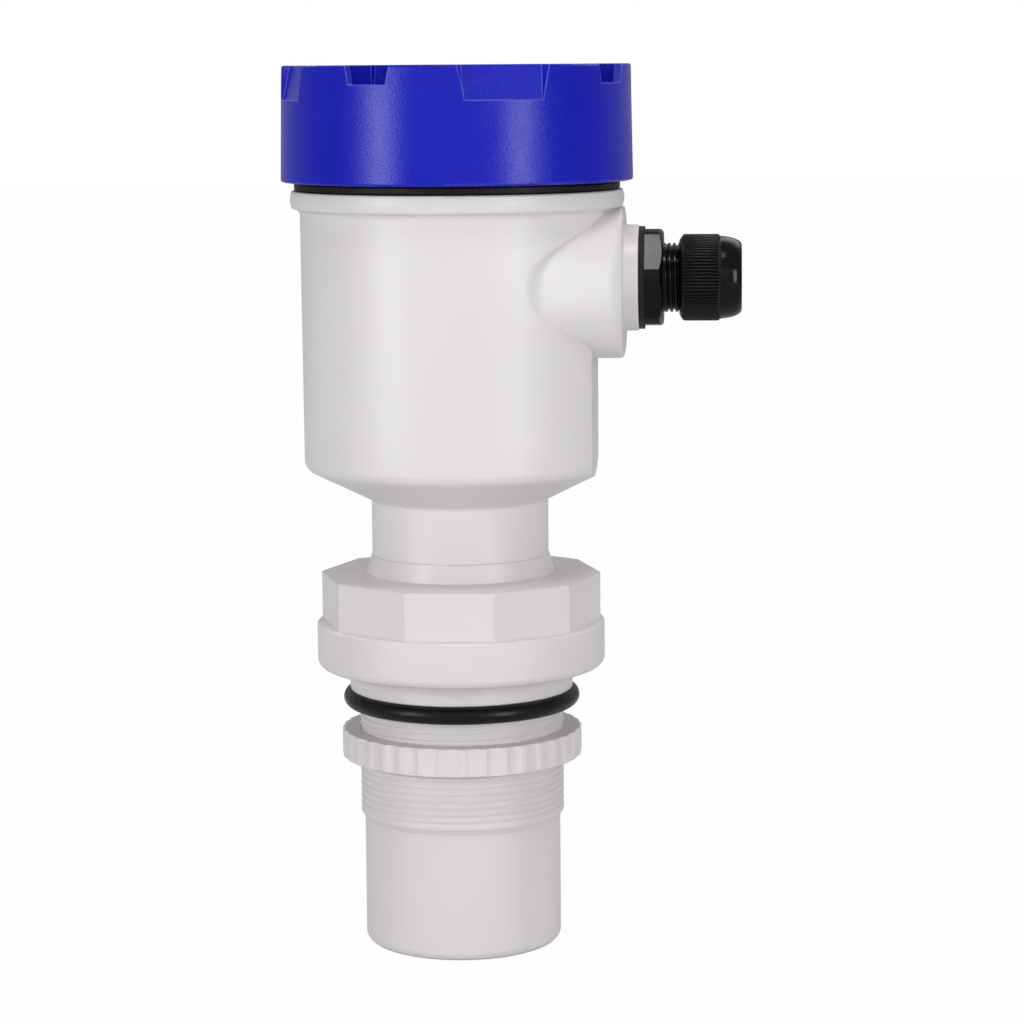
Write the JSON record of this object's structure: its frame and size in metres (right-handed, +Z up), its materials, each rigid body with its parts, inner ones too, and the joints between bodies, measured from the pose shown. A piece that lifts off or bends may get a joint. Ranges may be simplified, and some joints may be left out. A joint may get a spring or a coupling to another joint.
{
  "type": "ultrasonic level sensor",
  "caption": "Upright ultrasonic level sensor with notched screw lid, cup housing, side cable gland, decagon flange and threaded transducer with lock ring.",
  "frame": {"origin": "centre of the sensing face at the bottom of the transducer", "axes": "+Z up the main axis towards the lid, +X along the cable gland"},
  "size_m": [0.1339, 0.1022, 0.2582],
  "materials": {
    "lid_blue": "fine orange-peel texture, semi-gloss",
    "housing_white": "smooth moulded, semi-gloss",
    "transducer_white": "smooth moulded, satin",
    "nut_white": "moulded, satin",
    "gasket_black": "matt rubber",
    "o_ring_black": "satin rubber",
    "gland_black": "moulded nylon, glossy",
    "seal_black": "matt rubber",
    "window_clear": "clear polycarbonate",
    "trim_grey": "fine texture",
    "lcd_grey": "glossy display film",
    "board_green": "solder mask",
    "button_grey": "satin",
    "terminal_green": "satin",
    "steel": "zinc plated",
    "brass": "nickel free",
    "can_silver": "satin",
    "module_black": "fine texture",
    "ribbon_grey": "satin",
    "lead_grey": "satin jacket",
    "potting_black": "cast resin",
    "piezo_ceramic": "silvered",
    "foam_tan": "syntactic foam"
  },
  "bodies": {
    "body": {"housing": "housing_white", "transducer_body": "transducer_white", "o_ring": "o_ring_black", "gland_washer": "seal_black", "gland_body": "gland_black", "gland_inner_nut": "gland_black", "display_bezel": "trim_grey", "lcd_module": "lcd_grey", "display_board": "board_green", "display_screws": "steel", "button_switches": "module_black", "board_standoffs": "brass", "main_board": "board_green", "terminal_block": "terminal_green", "terminal_screws": "steel", "power_module": "module_black", "capacitors": "can_silver", "ribbon_headers": "module_black", "ribbon_cable": "ribbon_grey", "transducer_plug": "button_grey", "transducer_lead": "lead_grey", "matching_layer": "foam_tan", "piezo_disc": "piezo_ceramic", "backing_block": "foam_tan", "temperature_sensor": "steel", "potting_plug": "potting_black"},
    "gasket": {"lid_gasket": "gasket_black"},
    "lid": {"lid_cover": "lid_blue", "window_pane": "window_clear", "window_seal": "seal_black", "window_retainer": "trim_grey", "retainer_screws": "steel"},
    "lock_nut": {"lock_nut": "nut_white"},
    "gland_insert": {"gland_claw_ring": "gland_black", "gland_seal_bush": "seal_black"},
    "dome_nut": {"gland_dome_nut": "gland_black"},
    "button_1": {"keypad_button_1": "button_grey"},
    "button_2": {"keypad_button_2": "button_grey"},
    "button_3": {"keypad_button_3": "button_grey"},
    "button_4": {"keypad_button_4": "button_grey"}
  },
  "joints": [
    {"name": "lid_lift", "type": "slide", "parent": "body", "child": "gasket", "axis": [0, 0, 1], "range_m": [0, 0.01201]},
    {"name": "lid_turn", "type": "hinge", "parent": "gasket", "child": "lid", "pos_m": [0, 0, 0.2248], "axis": [0, 0, 1], "range_deg": [0, 1080]},
    {"name": "lock_nut_travel", "type": "slide", "parent": "body", "child": "lock_nut", "axis": [0, 0, 1], "range_m": [-0.0165, 0.006]},
    {"name": "gland_insert_slide", "type": "slide", "parent": "body", "child": "gland_insert", "axis": [1, 0, 0], "range_m": [0, 0.00526]},
    {"name": "dome_nut_turn", "type": "hinge", "parent": "gland_insert", "child": "dome_nut", "pos_m": [0.0736, 0, 0.1964], "axis": [1, 0, 0], "range_deg": [0, 1260]},
    {"name": "button_1_press", "type": "slide", "parent": "body", "child": "button_1", "axis": [0, 0, -1], "range_m": [0, 0.00035], "stiffness_N_per_m": 2000},
    {"name": "button_2_press", "type": "slide", "parent": "body", "child": "button_2", "axis": [0, 0, -1], "range_m": [0, 0.00035], "stiffness_N_per_m": 2000},
    {"name": "button_3_press", "type": "slide", "parent": "body", "child": "button_3", "axis": [0, 0, -1], "range_m": [0, 0.00035], "stiffness_N_per_m": 2000},
    {"name": "button_4_press", "type": "slide", "parent": "body", "child": "button_4", "axis": [0, 0, -1], "range_m": [0, 0.00035], "stiffness_N_per_m": 2000}
  ],
  "couplings": [
    {"joint": "lid_lift", "follows": "lid_turn", "m_per_rad": 0.00063662},
    {"joint": "gland_insert_slide", "follows": "dome_nut_turn", "m_per_rad": 0.00023873}
  ]
}
